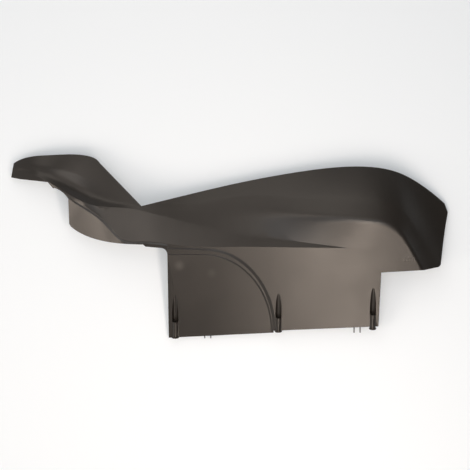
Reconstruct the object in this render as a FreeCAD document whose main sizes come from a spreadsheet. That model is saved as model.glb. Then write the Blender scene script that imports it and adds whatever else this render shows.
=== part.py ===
import FreeCAD, Part

import math
import os

from FreeCAD import Placement, Rotation, Vector

# Scooter lower side panel: one moulded piece, lying with its outer face up.
# X runs along the panel from the nose to the tail, Y up across it, Z out of its face.
# Y = 0 is the sill line, where the flat flap meets the blade, and Z = 0 is the sill's height
# until the finished panel is set down on its lowest points.

# Sizes in millimetres and degrees
SIZES = {
    "wall": 2.6,
    "flap_tilt": 19.0,
    "hem_reach": 172.0,
    "bay_recess": 5.0,
    "bay_shelf_recess": 3.2,
    "bay_lean_x": 1.4,
    "bay_lean_y": 0.8,
    "bay_arc_start": -37.0,
    "bay_arc_base": -136.7,
    "bay_arc_width": 112.4,
    "bay_top": -8.7,
    "bay_shelf_arc_width": 113.4,
    "bay_shelf_top": -2.7,
    "bay_shelf_top_left": 1.6,
    "tail_recess": 3.6,
    "tail_lean_x": 0.6,
    "tail_lean_y": 0.8,
    "tail_ledge": 0.9,
    "tail_start": -300.0,
    "tail_end": -100.0,
    "lip_depth": 9.0,
    "lip_wall": 2.4,
    "lip_low_end": -40.0,
    "boss_radius": 4.6,
    "boss_overhang": 2.4,
    "collar_radius": 6.0,
    "collar_thickness": 2.2,
    "screw_bore_radius": 2.25,
    "screw_sink": 1.0,
    "pocket_radius": 5.2,
    "pocket_wall": 2.0,
    "finger_gap": 10.0,
    "finger_thickness": 1.7,
    "finger_width": 7.0,
    "finger_length": 18.5,
    "finger_overhang": 6.5,
}

# Screw places along the lower edge: x, slope distance to the pocket's tip, its length, the edge
SCREWS = {
    "front_screw": (-90.0, 85.0, 47.0, 158.6),
    "middle_screw": (81.0, 81.0, 42.0, 146.0),
    "rear_screw": (237.0, 71.0, 46.5, 141.4),
}

# Pairs of guide fingers behind the lower edge: x of the middle, slope distance to the edge
FINGERS = {
    "front_fingers": (-36.2, 156.0),
    "rear_fingers": (211.5, 144.3),
}

# Where the guide lines of the skin cross each station: (y, z), with no z on the flap's plane
FLAP = None
GUIDES = ("ridge", "crest", "fold", "crown", "brim")
STATIONS = {
    "nose_end": (-376, (112, -67), (116, -67), (126, -68), (140, -70), (168, -75)),
    "nose": (-296, (101, -26), (106, -25), (118, -33), (134, -36), (162, -45)),
    "arm": (-238, (67, -15), (73.5, -14), (90, -29), (116, -33), (162, -43)),
    "neck": (-205, (43, -8.5), (66, -13), (77, -22), (102, -28), (158, -42)),
    "elbow": (-177, (15, -2), (65, -12), (72, -17), (92, -23), (144, -38)),
    "notch": (-144, (9.6, 0.5), (60, -10), (67, -13), (85, -19), (124, -35)),
    "sill": (-82, (3.3, FLAP), (43, -9), (58, -14.5), (74, -21), (102, -36)),
    "flank": (17, (0.7, FLAP), (21.8, -7), (61, -17.5), (87, -27), (124, -46)),
    "waist": (116, (-0.5, FLAP), (9.2, -5), (51.8, -3), (91, -18), (142, -48)),
    "tip": (190, (-1.6, FLAP), (0.2, -0.6), (47, 11), (94, -8.5), (150, -47)),
    "shoulder": (235, (-4, FLAP), (-1, FLAP), (42.6, 14.2), (92, -6), (149, -46)),
    "haunch": (281, (-24, FLAP), (-16, FLAP), (22, FLAP), (80, -10), (141, -51)),
    "corner": (316, (-78, FLAP), (-70, FLAP), (-35, FLAP), (42, -22), (124, -55)),
    "tail_rim": (372, (-150, FLAP), (-142, FLAP), (-115, -46), (-15, -59), (94, -64)),
}

# How far the skin's rounding reaches to each side of the fold at each station
SOFTNESS = {
    "nose_end": 7,
    "nose": 11,
    "arm": 19,
    "neck": 11,
    "elbow": 5,
    "notch": 4,
    "sill": 8,
    "flank": 20,
    "waist": 18,
    "tip": 13,
    "shoulder": 12,
    "haunch": 12,
    "corner": 12,
    "tail_rim": 12,
}

# Plan outline: corner points, and the inner points of its curved stretches
OUTLINE = {
    "nose_foot": (-362.8, 115.7),
    "nose_brow": (-358.5, 139.0),
    "nose_back": (-353.4, 142.2),
    "nose_top": (-295.0, 152.6),
    "nose_shoulder": (-236.0, 151.4),
    "nose_round": (-222.0, 146.5),
    "nose_corner": (-214.5, 139.0),
    "notch_apex": (-145.0, 67.8),
    "wing_low": (-82.0, 83.5),
    "wing_rise": (17.0, 106.8),
    "wing_mid": (116.0, 124.9),
    "wing_top": (210.0, 133.5),
    "wing_fall": (281.0, 122.9),
    "wing_drop": (316.0, 104.5),
    "wing_end": (357.0, 72.6),
    "rim_top": (362.7, 58.0),
    "rim_mid": (356.0, 20.0),
    "rim_low": (349.8, -27.0),
    "rim_round": (347.6, -31.4),
    "rim_foot": (342.0, -33.5),
    "tail_bend": (320.9, -37.6),
    "flap_inner": (249.6, -41.6),
    "flap_right": (246.6, -131.2),
    "flap_low": (72.9, -138.6),
    "bay_right": (72.9, -141.9),
    "bay_left": (-101.0, -150.5),
    "bay_corner": (-102.1, -12.0),
    "bay_round": (-105.4, -4.2),
    "arm_foot": (-114.5, -1.0),
    "arm_step": (-137.8, 1.0),
    "arm_step_top": (-141.9, 4.3),
    "arm_low": (-181.0, 6.3),
    "belly": (-221.0, 13.4),
    "belly_rise": (-252.0, 26.7),
    "tail_corner": (-262.0, 34.0),
    "tail_side": (-264.7, 39.0),
    "hook_root": (-265.8, 79.5),
    "hook_bend": (-274.4, 89.9),
    "hook_inner": (-288.8, 97.8),
    "hook_tooth": (-291.1, 97.0),
    "hook_back": (-299.8, 107.3),
    "nose_under": (-346.3, 112.5),
}

# The outline in order: straight runs, and curves through the points that they name
OUTLINE_RUNS = (
    ("nose_foot", "nose_brow"),
    ("nose_brow", "nose_back", "nose_top", "nose_shoulder", "nose_round", "nose_corner"),
    ("nose_corner", "notch_apex"),
    ("notch_apex", "wing_low", "wing_rise", "wing_mid", "wing_top", "wing_fall", "wing_drop", "wing_end"),
    ("wing_end", "rim_top"),
    ("rim_top", "rim_mid", "rim_low"),
    ("rim_low", "rim_round", "rim_foot"),
    ("rim_foot", "tail_bend"),
    ("tail_bend", "flap_inner"),
    ("flap_inner", "flap_right"),
    ("flap_right", "flap_low"),
    ("flap_low", "bay_right"),
    ("bay_right", "bay_left"),
    ("bay_left", "bay_corner"),
    ("bay_corner", "bay_round", "arm_foot"),
    ("arm_foot", "arm_step"),
    ("arm_step", "arm_step_top"),
    ("arm_step_top", "arm_low", "belly", "belly_rise", "tail_corner"),
    ("tail_corner", "tail_side"),
    ("tail_side", "hook_root"),
    ("hook_root", "hook_bend", "hook_inner"),
    ("hook_inner", "hook_tooth"),
    ("hook_tooth", "hook_back"),
    ("hook_back", "nose_under"),
    ("nose_under", "nose_foot"),
)

BEYOND = 600.0
SKY = 150.0
GROUND = -150.0
MARGIN = 40.0
FINENESS = 0.05

doc = FreeCAD.newDocument("lower_side_panel")
sheet = doc.addObject("Spreadsheet::Sheet", "Sizes")


def fill_sheet():
    """Put every driving size into the sheet under its own name."""
    cells = dict(SIZES)
    for name, (x, tip, length, edge) in SCREWS.items():
        cells.update({f"{name}_x": x, f"{name}_tip": tip, f"{name}_length": length, f"{name}_edge": edge})
    for name, (x, edge) in FINGERS.items():
        cells.update({f"{name}_x": x, f"{name}_edge": edge})
    for station, (x, *crossings) in STATIONS.items():
        cells[f"{station}_x"] = x
        for guide, (y, z) in zip(GUIDES, crossings):
            cells[f"{station}_{guide}_y"] = y
            if z is not FLAP:
                cells[f"{station}_{guide}_z"] = z
    for station, reach in SOFTNESS.items():
        cells[f"{station}_softness"] = reach
    for point, (x, y) in OUTLINE.items():
        cells[f"{point}_x"] = x
        cells[f"{point}_y"] = y
    for row, (alias, value) in enumerate(cells.items(), start=1):
        sheet.set(f"A{row}", alias)
        sheet.set(f"B{row}", str(value))
        sheet.setAlias(f"B{row}", alias)
    doc.recompute()


def size(alias):
    """One driving size from the sheet."""
    return float(sheet.get(alias))


def flap_height(y):
    """Height of the flap's plane at a place across the panel."""
    return y * math.tan(math.radians(size("flap_tilt")))


def feature(name, shape):
    """A document object that holds a shape made from the sheet's sizes."""
    item = doc.addObject("Part::Feature", name)
    item.Shape = shape
    return item


def curve_through(points, parameters=None):
    """A smooth curve through points."""
    spline = Part.BSplineCurve()
    if parameters:
        spline.interpolate(Points=points, Parameters=parameters)
    else:
        spline.interpolate(Points=points)
    return spline


def long_line(points):
    """A smooth curve along the panel, with x as its parameter."""
    return curve_through(points, [point.x for point in points])


def crossing(station, guide):
    """Where a guide line of the skin crosses a station."""
    y = size(f"{station}_{guide}_y")
    on_flap = STATIONS[station][1 + GUIDES.index(guide)][1] is FLAP
    z = flap_height(y) if on_flap else size(f"{station}_{guide}_z")
    return Vector(size(f"{station}_x"), y, z)


def toward(start, end, reach):
    """The point a given way along the straight line between two others."""
    return start + (end - start).normalize() * reach


def guide_line(guide):
    """One guide line of the skin, through its crossing of every station."""
    return long_line([crossing(station, guide) for station in STATIONS])


def hem_line():
    """The flap's lower border, past its edge and on its plane."""
    y = -size("hem_reach")
    return long_line([Vector(size(f"{station}_x"), y, flap_height(y)) for station in STATIONS])


def net_row(station):
    """Control points of the domed skin at a station, with a close pair around the rounded fold."""
    crest, fold, crown, brim = (crossing(station, guide) for guide in GUIDES[1:])
    reach = size(f"{station}_softness")
    return [crest, toward(fold, crest, reach), fold, toward(fold, crown, reach), crown, brim]


def dome_face():
    """The skin from the crest to the brim: the middle band and the wing, rounded into each other."""
    lines = [long_line(list(points)) for points in zip(*(net_row(station) for station in STATIONS))]
    across = 2
    spans = len(lines) - across
    ends = across + 1
    surface = Part.BSplineSurface()
    surface.buildFromPolesMultsKnots(
        [list(poles) for poles in zip(*(line.getPoles() for line in lines))],
        lines[0].getMultiplicities(),
        [ends, *[1] * (spans - 1), ends],
        lines[0].getKnots(),
        list(range(spans + 1)),
        False,
        False,
        lines[0].Degree,
        across,
    )
    return surface.toShape()


def flap_face(*stretch):
    """The flap's sheet from its hem to the ridge, whole or on a stretch along the panel."""
    return Part.makeRuledSurface(*(line.toShape(*stretch) for line in (hem_line(), guide_line("ridge"))))


def blade_face():
    """The blade's sheet from the ridge to the crest."""
    return Part.makeRuledSurface(*(guide_line(guide).toShape() for guide in ("ridge", "crest")))


def slab(top, depth):
    """A closed sheet under the skin, from a depth below it down to a further depth."""
    faces = flap_face(), blade_face(), dome_face()
    upper = Part.makeShell([face.translated(Vector(0, 0, -top)) for face in faces])
    upper.sewShape()
    down = Vector(0, 0, -depth)
    border = [edge for edge in upper.Edges if len(upper.ancestorsOfType(edge, Part.Face)) == 1]
    sides = [edge.extrude(down) for edge in border]
    shell = Part.makeShell([*upper.Faces, *upper.translated(down).Faces, *sides])
    shell.sewShape()
    solid = Part.Solid(shell)
    if solid.Volume < 0:
        solid.reverse()
    return solid


def column(wire):
    """An upright prism over a plan outline."""
    face = Part.Face(wire)
    face.translate(Vector(0, 0, GROUND))
    return face.extrude(Vector(0, 0, SKY - GROUND))


def plan(point, shift=(0.0, 0.0)):
    """A named point of the plan outline."""
    return Vector(size(f"{point}_x") + shift[0], size(f"{point}_y") + shift[1], 0)


def outline_wire(shift=(0.0, 0.0)):
    """The panel's plan outline."""
    edges = []
    for run in OUTLINE_RUNS:
        points = [plan(name, shift) for name in run]
        straight = len(points) == 2
        edges.append(Part.makeLine(*points) if straight else curve_through(points).toShape())
    return Part.Wire(edges)


def on_plane(x, y):
    """A point on the flap's plane."""
    return Vector(x, y, flap_height(y))


def quarter_ellipse(centre, top, side):
    """A quarter of an ellipse, from its top round to its right-hand end."""
    tall = (top - centre).Length > (side - centre).Length
    ellipse = Part.Ellipse(top, side, centre) if tall else Part.Ellipse(side, top, centre)
    ends = sorted((ellipse.parameter(top), ellipse.parameter(side)))
    if ends[1] - ends[0] > math.pi:
        ends = [ends[1] - 2 * math.pi, ends[0]]
    return ellipse.toShape(*ends)


def bay_face(top, top_left, width):
    """Part of the flap's plane: a straight top, then a quarter ellipse down past the lower edge."""
    left = size("bay_left_x") - MARGIN
    below = -size("hem_reach")
    start = size("bay_arc_start")
    base = size("bay_arc_base")
    arc_top = on_plane(start, top)
    side = on_plane(start + width, base)
    straight = [side, on_plane(side.x, below), on_plane(left, below), on_plane(left, top_left), arc_top]
    arc = quarter_ellipse(on_plane(start, base), arc_top, side)
    return Part.Face(Part.Wire([arc, *Part.makePolygon(straight).Edges]))


def sunk(face, depth, lean):
    """The room over a sheet sunk below the skin, with walls that lean out on the way up."""
    along, across = size(f"{lean}_lean_x"), size(f"{lean}_lean_y")
    up = Vector(along, across, 1 + flap_height(across))
    return face.translated(up * -depth).extrude(up * (depth + MARGIN))


def recesses():
    """The rooms that are sunk into the skin: the bay with its shelf, and the tail flange."""
    bay = bay_face(size("bay_top"), size("bay_top"), size("bay_arc_width"))
    shelf = bay_face(size("bay_shelf_top"), size("bay_shelf_top_left"), size("bay_shelf_arc_width"))
    tail = flap_face(size("tail_start"), size("tail_end"))
    tail.translate(Vector(0, -size("tail_ledge"), 0))
    return {
        "bay": sunk(bay, size("bay_recess"), "bay"),
        "bay_shelf": sunk(shelf, size("bay_shelf_recess"), "bay"),
        "tail": sunk(tail, size("tail_recess"), "tail"),
    }


def joined(kind, name, items):
    """A boolean of several document objects."""
    item = doc.addObject(kind, name)
    item.Shapes = items
    return item


def cut(name, base, tools):
    """A document object with others taken away from it, one after the other."""
    for number, tool in enumerate(tools, start=1):
        item = doc.addObject("Part::Cut", f"{name}_{number}")
        item.Base = base
        item.Tool = tool
        base = item
    return base


def moulded_shell(bulges, under):
    """The panel's wall with its sunk trays, the bulges behind it and the return lip."""
    outline = feature("outline_column", column(outline_wire()))
    shift = (-size("lip_wall"), -size("lip_wall"))
    lip_core = feature("lip_core", column(outline_wire(shift)))
    lip_corner = Vector(-BEYOND, size("lip_low_end"), GROUND)
    lip_space = feature("lip_space", Part.makeBox(2 * BEYOND, BEYOND, SKY - GROUND, lip_corner))
    lip_skin = feature("lip_skin", slab(0, size("lip_depth")))
    lip_block = joined("Part::MultiCommon", "lip_block", [lip_skin, outline, lip_space])
    skin = feature("skin", slab(0, size("wall")))
    pieces = [
        joined("Part::MultiCommon", "main_wall", [skin, outline]),
        cut("return_lip", lip_block, [lip_core]),
        *bulges,
    ]
    rooms = []
    for name, room in recesses().items():
        low = feature(f"{name}_low", room.translated(Vector(0, 0, -size("wall"))))
        pieces.append(joined("Part::MultiCommon", f"{name}_tray", [low, under, outline]))
        rooms.append(feature(f"{name}_room", room))
    return cut("shell", joined("Part::MultiFuse", "walls", pieces), rooms)


def bind(item, **formulas):
    """Tie an object's properties to the sheet; a double underscore stands for a dot."""
    for key, formula in formulas.items():
        item.setExpression(key.replace("__", "."), formula)
    return item


def on_flap(item, x, slope, depth, turn):
    """Place an object on the flap: across, down its slope, below its face, turned about X."""
    item.Placement = Placement(Vector(), Rotation(Vector(1, 0, 0), 1))
    tilt = "Sizes.flap_tilt * 1 deg"
    return bind(
        item,
        Placement__Base__x=f"({x}) * 1 mm",
        Placement__Base__y=f"(-({slope}) * cos({tilt}) + ({depth}) * sin({tilt})) * 1 mm",
        Placement__Base__z=f"(-({slope}) * sin({tilt}) - ({depth}) * cos({tilt})) * 1 mm",
        Placement__Rotation__Angle=f"({turn}) * 1 deg",
    )


def rod(name, x, slope, depth, turn, radius, length):
    """A cylinder on the flap, from a place on it along a turned axis."""
    item = on_flap(doc.addObject("Part::Cylinder", name), x, slope, depth, turn)
    return bind(item, Radius=f"({radius}) * 1 mm", Height=f"({length}) * 1 mm")


def floor_depth(name):
    """How far the flap's face lies below its plane at a fastening."""
    return "Sizes.bay_recess * cos(Sizes.flap_tilt * 1 deg)" if name.startswith("front") else "0"


def screw_place(name, under):
    """A screw tube at the lower edge and the tapering pocket that leads a driver to it."""
    at = f"Sizes.{name}"
    step = f"({at}_tip + {at}_length)"
    end = f"({at}_edge + Sizes.boss_overhang)"
    depth = f"({floor_depth(name)} + Sizes.screw_sink)"
    rise = f"atan((Sizes.pocket_radius + Sizes.screw_sink) / {at}_length)"
    down = "90 + Sizes.flap_tilt"
    up = f"Sizes.flap_tilt + {rise} / 1 deg - 90"
    reach = f"2 * {at}_length"
    tube = rod(f"{name}_tube", f"{at}_x", step, depth, down, "Sizes.boss_radius", f"{end} - {step}")
    collar = rod(f"{name}_collar", f"{at}_x", f"{end} - Sizes.collar_thickness", depth, down,
                 "Sizes.collar_radius", "Sizes.collar_thickness")
    backing = rod(f"{name}_backing", f"{at}_x", f"{step} + Sizes.pocket_wall", depth, up,
                  "Sizes.pocket_radius + Sizes.pocket_wall", reach)
    pocket = rod(f"{name}_pocket", f"{at}_x", step, depth, up, "Sizes.pocket_radius", reach)
    bore = rod(f"{name}_bore", f"{at}_x", f"{step} - Sizes.pocket_radius", depth, down,
               "Sizes.screw_bore_radius", f"{end} - {step} + 2 * Sizes.pocket_radius")
    bulge = joined("Part::MultiCommon", f"{name}_bulge", [backing, under])
    return bulge, [tube, collar], [pocket, bore]


def finger_pair(name):
    """Two thin guide fingers behind the lower edge, reaching a little past it."""
    fingers = []
    at = f"Sizes.{name}"
    for side in (-1, 1):
        label = f"{name}_left" if side < 0 else f"{name}_right"
        x = f"{at}_x + {side} * Sizes.finger_gap / 2 - Sizes.finger_thickness / 2"
        slope = f"{at}_edge + Sizes.finger_overhang - Sizes.finger_length"
        depth = f"{floor_depth(name)} + Sizes.wall / 2 + Sizes.finger_width"
        item = on_flap(doc.addObject("Part::Box", label), x, slope, depth, "90 + Sizes.flap_tilt")
        bind(item, Length="Sizes.finger_thickness * 1 mm", Width="Sizes.finger_width * 1 mm",
             Height="Sizes.finger_length * 1 mm")
        fingers.append(item)
    return fingers


def side_panel():
    """The whole panel, one moulded solid."""
    under = feature("under_skin", slab(size("wall") / 2, MARGIN))
    added = []
    bulges = []
    removed = []
    for name in SCREWS:
        bulge, solids, hollows = screw_place(name, under)
        bulges.append(bulge)
        added += solids
        removed += hollows
    for name in FINGERS:
        added += finger_pair(name)
    shell = moulded_shell(bulges, under)
    panel = cut("panel", joined("Part::MultiFuse", "panel_with_bosses", [shell, *added]), removed)
    doc.recompute()
    return panel


def set_down(panel):
    """The finished panel as a node, its lowest points on Z = 0 and centred over the origin."""
    node = feature("side_panel", panel.Shape)
    node.Label = "side_panel"
    points = node.Shape.tessellate(FINENESS)[0]
    low, high = (Vector(*(pick(axis) for axis in zip(*points))) for pick in (min, max))
    middle = (low + high) / 2
    node.Placement = Placement(Vector(-middle.x, -middle.y, -low.z), Rotation())
    return node


def check(items):
    """Stop if any object of the document failed or a finished node isn't one sound solid."""
    for item in doc.Objects:
        if {"Invalid", "Error"} & set(item.State):
            raise RuntimeError(f"{item.Label} failed: {item.State}")
    for item in items:
        if item.Shape.isNull() or not item.Shape.isValid():
            raise RuntimeError(f"{item.Label} has no sound shape")
        print(item.Label, len(item.Shape.Solids), item.Shape.Volume)


fill_sheet()
nodes = [set_down(side_panel())]
check(nodes)
os.makedirs("parts", exist_ok=True)
for node in nodes:
    node.Shape.exportStep(f"parts/{node.Label}.step")
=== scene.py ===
"""Scooter lower side panel: one grained plastic moulding, lying face up on a pale table."""

import logging
from collections.abc import Iterable
from dataclasses import dataclass, field
from enum import Enum
from typing import Any

import bmesh
import bpy
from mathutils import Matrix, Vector
from mathutils.bvhtree import BVHTree

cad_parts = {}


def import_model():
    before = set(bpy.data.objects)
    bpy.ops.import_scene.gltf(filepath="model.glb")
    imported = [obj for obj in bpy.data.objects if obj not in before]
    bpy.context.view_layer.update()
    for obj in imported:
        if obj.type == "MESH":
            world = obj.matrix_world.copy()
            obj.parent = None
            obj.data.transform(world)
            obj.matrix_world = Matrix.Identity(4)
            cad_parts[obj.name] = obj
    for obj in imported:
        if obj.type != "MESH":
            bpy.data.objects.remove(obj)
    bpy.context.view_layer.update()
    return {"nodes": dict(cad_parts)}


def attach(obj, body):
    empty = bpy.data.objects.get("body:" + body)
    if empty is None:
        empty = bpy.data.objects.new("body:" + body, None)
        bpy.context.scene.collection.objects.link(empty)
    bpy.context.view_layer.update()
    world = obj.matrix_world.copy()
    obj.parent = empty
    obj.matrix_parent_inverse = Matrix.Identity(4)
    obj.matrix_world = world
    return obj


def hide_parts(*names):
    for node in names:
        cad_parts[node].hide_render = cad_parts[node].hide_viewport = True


log = logging.getLogger("side_panel_scene")

MM = 0.001
SKY_HEIGHT = 1.0
DOWN = Vector((0.0, 0.0, -1.0))


class EdgeKind(Enum):
    """What a line of the moulding's mesh stands for."""

    FACET = "line inside one curved face"
    CORNER = "crisp edge of the mould"
    RIM = "outer edge of the skin, slightly round"


def linear(hex_colour: str) -> tuple[float, float, float, float]:
    """Turn an sRGB hex colour into linear light, by the curve of the sRGB standard.

    Args:
        hex_colour: Six hex digits after a hash sign.

    Returns:
        Red, green, blue and an alpha of 1.
    """
    channels = [int(hex_colour[i:i + 2], 16) / 255 for i in (1, 3, 5)]
    light = [c / 12.92 if c <= 0.04045 else ((c + 0.055) / 1.055) ** 2.4 for c in channels]
    return (*light, 1.0)


def empty_tree(owner: bpy.types.Material | bpy.types.World) -> bpy.types.NodeTree:
    """Give a material or world a node tree without nodes.

    Args:
        owner: The material or world.

    Returns:
        Its tree.
    """
    owner.use_nodes = True
    owner.node_tree.nodes.clear()
    return owner.node_tree


def add_node(tree: bpy.types.NodeTree, kind: str,
             values: dict[str | int, Any] | None = None,
             links: dict[str | int, bpy.types.NodeSocket] | None = None,
             **settings: Any) -> bpy.types.Node:
    """Add one shader node with its settings, socket values and incoming links.

    Args:
        tree: The node tree that gets the node.
        kind: Blender's type name of the node.
        values: Constants for input sockets, by socket name or number.
        links: Sockets that feed input sockets, by input name or number.
        **settings: Properties of the node itself.

    Returns:
        The new node.
    """
    node = tree.nodes.new(kind)
    for key, value in settings.items():
        setattr(node, key, value)
    for key, value in (values or {}).items():
        node.inputs[key].default_value = value
    for key, socket in (links or {}).items():
        tree.links.new(socket, node.inputs[key])
    return node


def add_object(name: str, data: bpy.types.Mesh | bpy.types.Light | bpy.types.Camera) -> bpy.types.Object:
    """Put a mesh, a lamp or a camera into the scene.

    Args:
        name: The object's name.
        data: What the object shows.

    Returns:
        The object, at the origin.
    """
    item = bpy.data.objects.new(name, data)
    bpy.context.scene.collection.objects.link(item)
    return item


@dataclass(frozen=True)
class Blush:
    """A pale round spot in the moulded skin."""

    place_mm: tuple[float, float]
    radius_mm: float
    strength: float

    def factor(self, tree: bpy.types.NodeTree, plan: bpy.types.NodeSocket) -> bpy.types.NodeSocket:
        """Add the nodes that say how pale a point is.

        Args:
            tree: The material's node tree.
            plan: Object coordinates without height.

        Returns:
            A value from 0 outside the spot to its strength in the middle.
        """
        middle = (self.place_mm[0] * MM, self.place_mm[1] * MM, 0.0)
        away = add_node(tree, "ShaderNodeVectorMath", {1: middle}, {0: plan}, operation="DISTANCE")
        spot = add_node(tree, "ShaderNodeMapRange",
                        {"From Min": 0.0, "From Max": self.radius_mm * MM,
                         "To Min": self.strength, "To Max": 0.0},
                        {"Value": away.outputs["Value"]}, interpolation_type="SMOOTHSTEP")
        return spot.outputs["Result"]


@dataclass(frozen=True)
class GrainedPolypropylene:
    """Injection-moulded polypropylene, dyed through, with a fine etched grain.

    The grain scatters the lamp's image into a broad satin sheen, and the dye leaves faint flow mottling.
    """

    name: str = "grained moulded polypropylene"
    colour: str = "#1e1b18"
    pale_colour: str = "#231f1c"
    roughness: float = 0.30
    rough_spread: float = 0.05
    ior: float = 1.54
    # The real grain is finer. It is drawn this coarse so that it shows.
    grain_mm: float = 1.1
    grain_depth_mm: float = 0.09
    grain_strength: float = 0.55
    grain_detail: float = 1.0
    mottle_mm: float = 55.0
    mottle_detail: float = 3.0
    blush_colour: str = "#5a5754"
    blushes: tuple[Blush, ...] = (
        Blush(place_mm=(-82.2, -30.6), radius_mm=11.5, strength=0.42),
        Blush(place_mm=(-29.5, -43.0), radius_mm=11.0, strength=0.20),
    )

    def material(self) -> bpy.types.Material:
        """Make the plastic's material.

        Returns:
            A node material that reads Object coordinates.
        """
        material = bpy.data.materials.new(self.name)
        tree = empty_tree(material)
        place = add_node(tree, "ShaderNodeTexCoord").outputs["Object"]
        mottle = add_node(tree, "ShaderNodeTexNoise",
                          {"Scale": 1 / (self.mottle_mm * MM), "Detail": self.mottle_detail},
                          {"Vector": place}).outputs["Fac"]
        colour = add_node(tree, "ShaderNodeMix",
                          {"A": linear(self.colour), "B": linear(self.pale_colour)},
                          {"Factor": mottle}, data_type="RGBA").outputs["Result"]
        plan = add_node(tree, "ShaderNodeVectorMath", {1: (1.0, 1.0, 0.0)}, {0: place},
                        operation="MULTIPLY").outputs["Vector"]
        for blush in self.blushes:
            colour = add_node(tree, "ShaderNodeMix", {"B": linear(self.blush_colour)},
                              {"Factor": blush.factor(tree, plan), "A": colour},
                              data_type="RGBA").outputs["Result"]
        sheen = add_node(tree, "ShaderNodeMapRange",
                         {"To Min": self.roughness - self.rough_spread,
                          "To Max": self.roughness + self.rough_spread}, {"Value": mottle})
        grain = add_node(tree, "ShaderNodeTexNoise",
                         {"Scale": 1 / (self.grain_mm * MM), "Detail": self.grain_detail},
                         {"Vector": place})
        bump = add_node(tree, "ShaderNodeBump",
                        {"Strength": self.grain_strength, "Distance": self.grain_depth_mm * MM},
                        {"Height": grain.outputs["Fac"]})
        shader = add_node(tree, "ShaderNodeBsdfPrincipled", {"IOR": self.ior},
                          {"Base Color": colour, "Roughness": sheen.outputs["Result"],
                           "Normal": bump.outputs["Normal"]})
        add_node(tree, "ShaderNodeOutputMaterial", links={"Surface": shader.outputs["BSDF"]})
        return material


def face_reach(face: bmesh.types.BMFace, edge: bmesh.types.BMEdge) -> float:
    """Measure how far a triangle reaches from one of its edges."""
    return 2 * face.calc_area() / edge.calc_length()


@dataclass
class SidePanel:
    """The moulded panel itself.

    The skin is what faces up, and the walls stand round it. Their limits are heights of a unit normal.
    """

    node: str = "side_panel"
    slot: str = "grained_plastic"
    name: str = "moulded_panel"
    finish: GrainedPolypropylene = field(default_factory=GrainedPolypropylene)
    weld_mm: float = 0.01
    facet_sag_mm: float = 0.158
    turn_limit_in_sags: float = 9.0
    skin_least_rise: float = 0.3
    wall_most_lean: float = 0.35
    rim_radius_mm: float = 0.6
    rim_segments: int = 3

    def is_facet_line(self, edge: bmesh.types.BMEdge) -> bool:
        """Tell a facet line of a curved face from a real edge.

        On a curved face, the turn from facet to facet times their width is 8 times the facets' sag.
        The limit is a little above that.

        Args:
            edge: An edge with two faces.

        Returns:
            True if both faces belong to one curved face.
        """
        width = max(face_reach(face, edge) for face in edge.link_faces)
        return edge.calc_face_angle() * width < self.turn_limit_in_sags * self.facet_sag_mm * MM

    def edge_kind(self, edge: bmesh.types.BMEdge, solid: BVHTree) -> EdgeKind:
        """Sort an edge of the joined mesh.

        Args:
            edge: The edge.
            solid: The whole panel, to look for what lies below a point.

        Returns:
            The edge's kind: a rim has the skin on one side, a wall on the other and nothing beyond it.
        """
        if len(edge.link_faces) != 2:
            return EdgeKind.CORNER
        if self.is_facet_line(edge):
            return EdgeKind.FACET
        wall, skin = sorted(edge.link_faces, key=lambda face: face.normal.z)
        rises = skin.normal.z >= self.skin_least_rise
        stands = abs(wall.normal.z) <= self.wall_most_lean
        if not (edge.is_convex and rises and stands):
            return EdgeKind.CORNER
        if min(face_reach(face, edge) for face in edge.link_faces) < self.rim_radius_mm * MM:
            return EdgeKind.CORNER
        middle = (edge.verts[0].co + edge.verts[1].co) / 2
        beyond = middle + wall.normal * self.rim_radius_mm * MM
        below = solid.ray_cast(Vector((beyond.x, beyond.y, SKY_HEIGHT)), DOWN)[0]
        return EdgeKind.CORNER if below else EdgeKind.RIM

    def shaded_mesh(self, source: bpy.types.Mesh) -> bpy.types.Mesh:
        """Copy the moulding's mesh with its corners joined, its curved faces smooth and its rim rounded.

        Args:
            source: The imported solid's mesh.

        Returns:
            The copy.
        """
        mesh = bmesh.new()
        mesh.from_mesh(source)
        bmesh.ops.remove_doubles(mesh, verts=mesh.verts, dist=self.weld_mm * MM)
        bmesh.ops.dissolve_degenerate(mesh, edges=mesh.edges, dist=self.weld_mm * MM)
        bmesh.ops.recalc_face_normals(mesh, faces=mesh.faces)
        solid = BVHTree.FromBMesh(mesh)
        rim = []
        for edge in mesh.edges:
            kind = self.edge_kind(edge, solid)
            edge.smooth = kind is EdgeKind.FACET
            if kind is EdgeKind.RIM:
                rim.append(edge)
        log.info("rim of %d edges", len(rim))
        rounded = bmesh.ops.bevel(mesh, geom=rim, affect="EDGES", offset_type="OFFSET",
                                  offset=self.rim_radius_mm * MM, segments=self.rim_segments,
                                  profile=0.5, material=-1, clamp_overlap=False)
        for face in rounded["faces"]:
            for edge in face.edges:
                edge.smooth = True
        for face in mesh.faces:
            face.smooth = True
        data = bpy.data.meshes.new(self.name)
        mesh.to_mesh(data)
        mesh.free()
        return data

    def shaded_piece(self, source: bpy.types.Mesh) -> bpy.types.Object:
        """Make the finished panel from the moulding's mesh.

        Args:
            source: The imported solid's mesh.

        Returns:
            The panel in its plastic.
        """
        data = self.shaded_mesh(source)
        data.materials.append(self.finish.material())
        piece = add_object(self.name, data)
        weighted = piece.modifiers.new("face_weighted_shading", "WEIGHTED_NORMAL")
        weighted.mode = "FACE_AREA"
        weighted.keep_sharp = True
        log.info("%s: %d faces", self.name, len(data.polygons))
        return piece

    def build(self, cad: bpy.types.Object) -> bpy.types.Object:
        """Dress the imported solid.

        Args:
            cad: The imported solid.

        Returns:
            The finished piece, riding on the panel's body.
        """
        piece = self.shaded_piece(cad.data)
        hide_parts(self.node)
        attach(piece, "root")
        return piece


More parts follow.
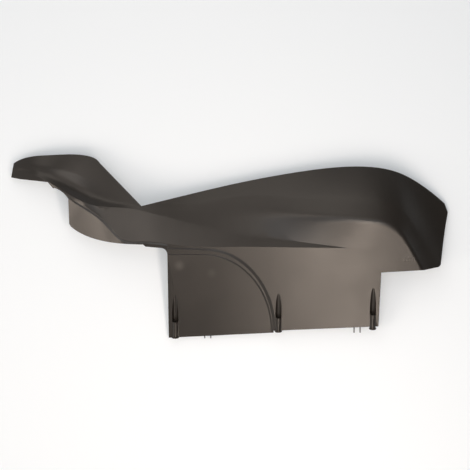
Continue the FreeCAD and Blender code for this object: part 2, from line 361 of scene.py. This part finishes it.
@dataclass
class Table:
    """A pale matt table top under the panel."""

    name: str = "table_top"
    colour: str = "#d7dee6"
    glow: str = "#838687"
    roughness: float = 0.9
    specular: float = 0.1
    half_side_m: float = 6.0

    def material(self) -> bpy.types.Material:
        """Make the white laminate, whose glow only the camera and mirror images see.

        Returns:
            The material.
        """
        material = bpy.data.materials.new("matt white table laminate")
        tree = empty_tree(material)
        path = add_node(tree, "ShaderNodeLightPath").outputs
        mirrored = add_node(tree, "ShaderNodeMath", operation="MAXIMUM",
                            links={0: path["Is Glossy Ray"], 1: path["Is Transmission Ray"]})
        seen = add_node(tree, "ShaderNodeMath", operation="MAXIMUM",
                        links={0: path["Is Camera Ray"], 1: mirrored.outputs["Value"]})
        shader = add_node(tree, "ShaderNodeBsdfPrincipled",
                          {"Base Color": linear(self.colour), "Roughness": self.roughness,
                           "Specular IOR Level": self.specular, "Emission Color": linear(self.glow)},
                          {"Emission Strength": seen.outputs["Value"]})
        add_node(tree, "ShaderNodeOutputMaterial", links={"Surface": shader.outputs["BSDF"]})
        return material

    def build(self) -> bpy.types.Object:
        """Lay the table top at the panel's foot.

        Returns:
            The floor.
        """
        mesh = bmesh.new()
        bmesh.ops.create_grid(mesh, x_segments=1, y_segments=1, size=self.half_side_m)
        data = bpy.data.meshes.new(self.name)
        mesh.to_mesh(data)
        mesh.free()
        data.materials.append(self.material())
        table = add_object(self.name, data)
        log.info("%s laid", self.name)
        return table


@dataclass(frozen=True)
class Softbox:
    """A rectangular studio lamp that faces a point of the panel, with its measures in metres."""

    name: str
    place: tuple[float, float, float]
    target: tuple[float, float, float]
    width: float
    height: float
    watts: float
    colour: str

    def build(self) -> bpy.types.Object:
        """Hang the lamp and turn it to its target.

        Returns:
            The lamp.
        """
        data = bpy.data.lights.new(self.name, "AREA")
        data.shape = "RECTANGLE"
        data.size = self.width
        data.size_y = self.height
        data.energy = self.watts
        data.color = linear(self.colour)[:3]
        lamp = add_object(self.name, data)
        aim = Vector(self.target) - Vector(self.place)
        lamp.rotation_euler = aim.to_track_quat("-Z", "Y").to_euler()
        lamp.location = self.place
        log.info("%s lit", self.name)
        return lamp


@dataclass
class Studio:
    """Lamps, world and camera."""

    left_air: float = 0.62
    right_air: float = 0.09
    air_colour: str = "#fffaf4"
    photo_pixels: int = 470
    mm_per_pixel: float = 1.65
    middle_mm: tuple[float, float] = (9.1, 19.4)
    focus_height_mm: float = 38.0
    lens_mm: float = 200.0
    sensor_mm: float = 36.0
    clip_end_m: float = 100.0
    softboxes: tuple[Softbox, ...] = (
        Softbox("sill_softbox", place=(0.205, -0.48, 0.92), target=(0.17, -0.03, 0.04),
                width=0.15, height=1.00, watts=5.2, colour="#ffecdb"),
        Softbox("nose_softbox", place=(-1.12, -0.49, 0.94), target=(-0.23, 0.03, 0.02),
                width=0.42, height=0.75, watts=5.6, colour="#ffeddc"),
        Softbox("band_softbox", place=(-0.08, -0.33, 0.92), target=(0.16, 0.03, 0.08),
                width=0.25, height=0.30, watts=0.72, colour="#ffeedd"),
        Softbox("back_softbox", place=(-0.22, 0.35, 0.80), target=(-0.15, 0.04, 0.03),
                width=0.16, height=0.16, watts=0.30, colour="#fff0e2"),
        Softbox("rear_softbox", place=(0.10, 0.75, 1.50), target=(0.00, 0.04, 0.03),
                width=0.50, height=0.50, watts=0.9, colour="#fff2e6"),
        Softbox("wall_softbox", place=(-0.35, 1.55, 1.20), target=(0.05, 0.10, 0.03),
                width=1.5, height=0.8, watts=3.9, colour="#fff4e8"),
        Softbox("top_softbox", place=(0.0, 0.0, 3.2), target=(0.0, 0.0, 0.0),
                width=2.2, height=2.2, watts=13.0, colour="#f2f8ff"),
    )

    def build_air(self) -> bpy.types.World:
        """Make the world, whose light falls off from the left to the right.

        Returns:
            The world.
        """
        world = bpy.data.worlds.new("studio_air")
        tree = empty_tree(world)
        way = add_node(tree, "ShaderNodeTexCoord").outputs["Generated"]
        parts = add_node(tree, "ShaderNodeSeparateXYZ", links={"Vector": way})
        fall = add_node(tree, "ShaderNodeMapRange",
                        {"From Min": -1.0, "From Max": 1.0,
                         "To Min": self.left_air, "To Max": self.right_air},
                        {"Value": parts.outputs["X"]})
        shade = add_node(tree, "ShaderNodeBackground", {"Color": linear(self.air_colour)},
                         {"Strength": fall.outputs["Result"]})
        add_node(tree, "ShaderNodeOutputWorld", links={"Surface": shade.outputs["Background"]})
        return world

    def build_camera(self) -> bpy.types.Object:
        """Hang the camera straight above the panel.

        Returns:
            The camera.
        """
        data = bpy.data.cameras.new("photo_camera")
        data.lens = self.lens_mm
        data.sensor_width = self.sensor_mm
        data.clip_end = self.clip_end_m
        camera = add_object("photo_camera", data)
        field_mm = self.photo_pixels * self.mm_per_pixel
        distance_mm = field_mm * self.lens_mm / self.sensor_mm
        height_mm = distance_mm + self.focus_height_mm
        camera.location = (self.middle_mm[0] * MM, self.middle_mm[1] * MM, height_mm * MM)
        log.info("camera %.2f m above the table", camera.location.z)
        return camera

    def build(self) -> None:
        """Set the world, the lamps and the camera."""
        scene = bpy.context.scene
        scene.world = self.build_air()
        for softbox in self.softboxes:
            softbox.build()
        scene.camera = self.build_camera()


def main() -> None:
    """Build the panel, its table and its studio."""
    logging.basicConfig(level=logging.INFO)
    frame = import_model()
    bpy.context.scene.view_settings.view_transform = "Standard"
    panel = SidePanel()
    panel.build(frame["nodes"][panel.node])
    Table().build()
    Studio().build()
    bpy.context.view_layer.update()


if __name__ == "__main__":
    main()
